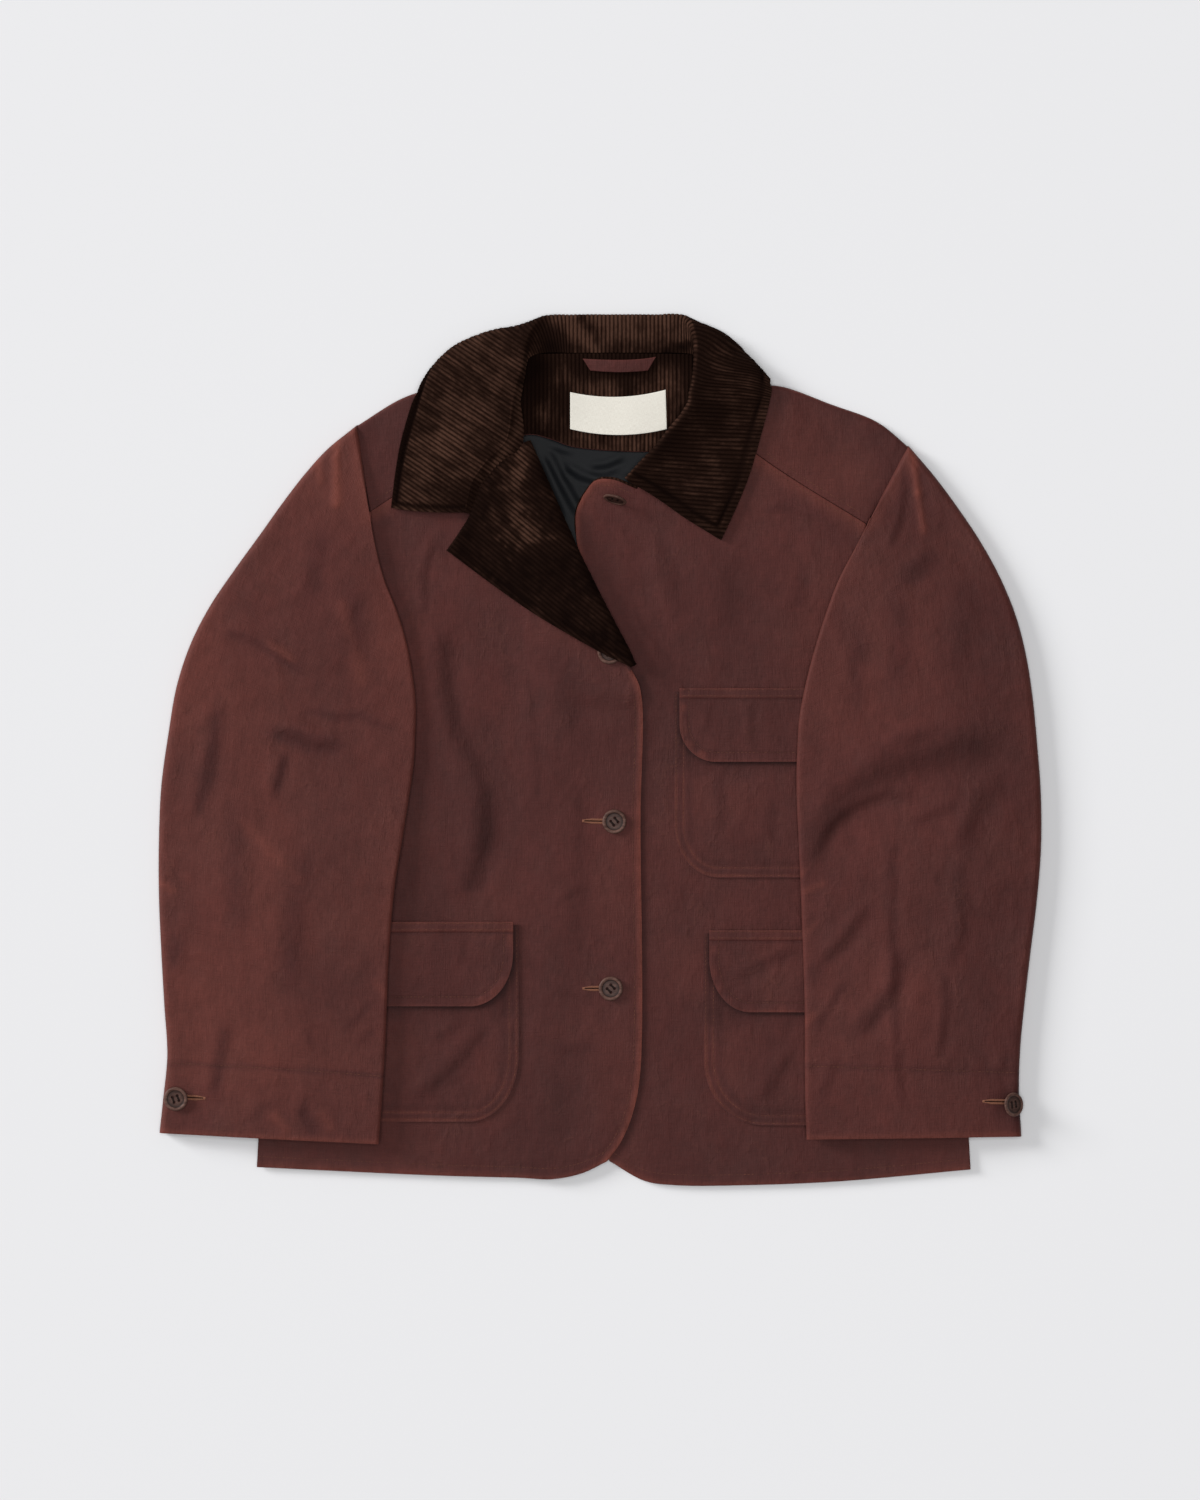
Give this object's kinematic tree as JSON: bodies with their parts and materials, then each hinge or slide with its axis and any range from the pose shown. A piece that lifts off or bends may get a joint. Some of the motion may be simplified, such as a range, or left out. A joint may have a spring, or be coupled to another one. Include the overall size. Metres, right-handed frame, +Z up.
{
  "type": "jacket",
  "caption": "Waxed cotton chore jacket laid flat on its back: notched corduroy collar and lapel, patch pockets with flaps, long two-piece sleeves over the fronts.",
  "frame": {"origin": "on the surface the jacket lies on, below the middle of its box in X and Y", "axes": "+Z up from the surface, +Y from the hem to the collar, +X towards the wearer's left"},
  "size_m": [0.7396, 0.7315, 0.0263],
  "materials": {
    "wax": "oxblood waxed cotton, close plain weave with a dry wax bloom and paler creases",
    "corduroy": "dark brown wide-wale cotton corduroy",
    "lining": "near black smooth lining",
    "label": "cream woven cotton, bare",
    "button": "dark brown horn-look resin, satin"
  },
  "bodies": {
    "root": {"back": "wax", "front_left": "wax", "front_right": "wax", "sleeve_left_top": "wax", "sleeve_left_under": "wax", "sleeve_right_top": "wax", "sleeve_right_under": "wax", "pocket_right": "wax", "pocket_right_flap": "wax", "pocket_left": "wax", "pocket_left_flap": "wax", "pocket_chest": "wax", "pocket_chest_flap": "wax", "hanger_loop": "wax", "collar": "corduroy", "lapel_facing": "corduroy", "front_left_facing": "corduroy", "back_neck_facing": "corduroy", "lining": "lining", "label": "label", "button_top": "button", "button_second": "button", "button_third": "button", "button_fourth": "button", "button_cuff_right": "button", "button_cuff_left": "button"}
  },
  "joints": []
}
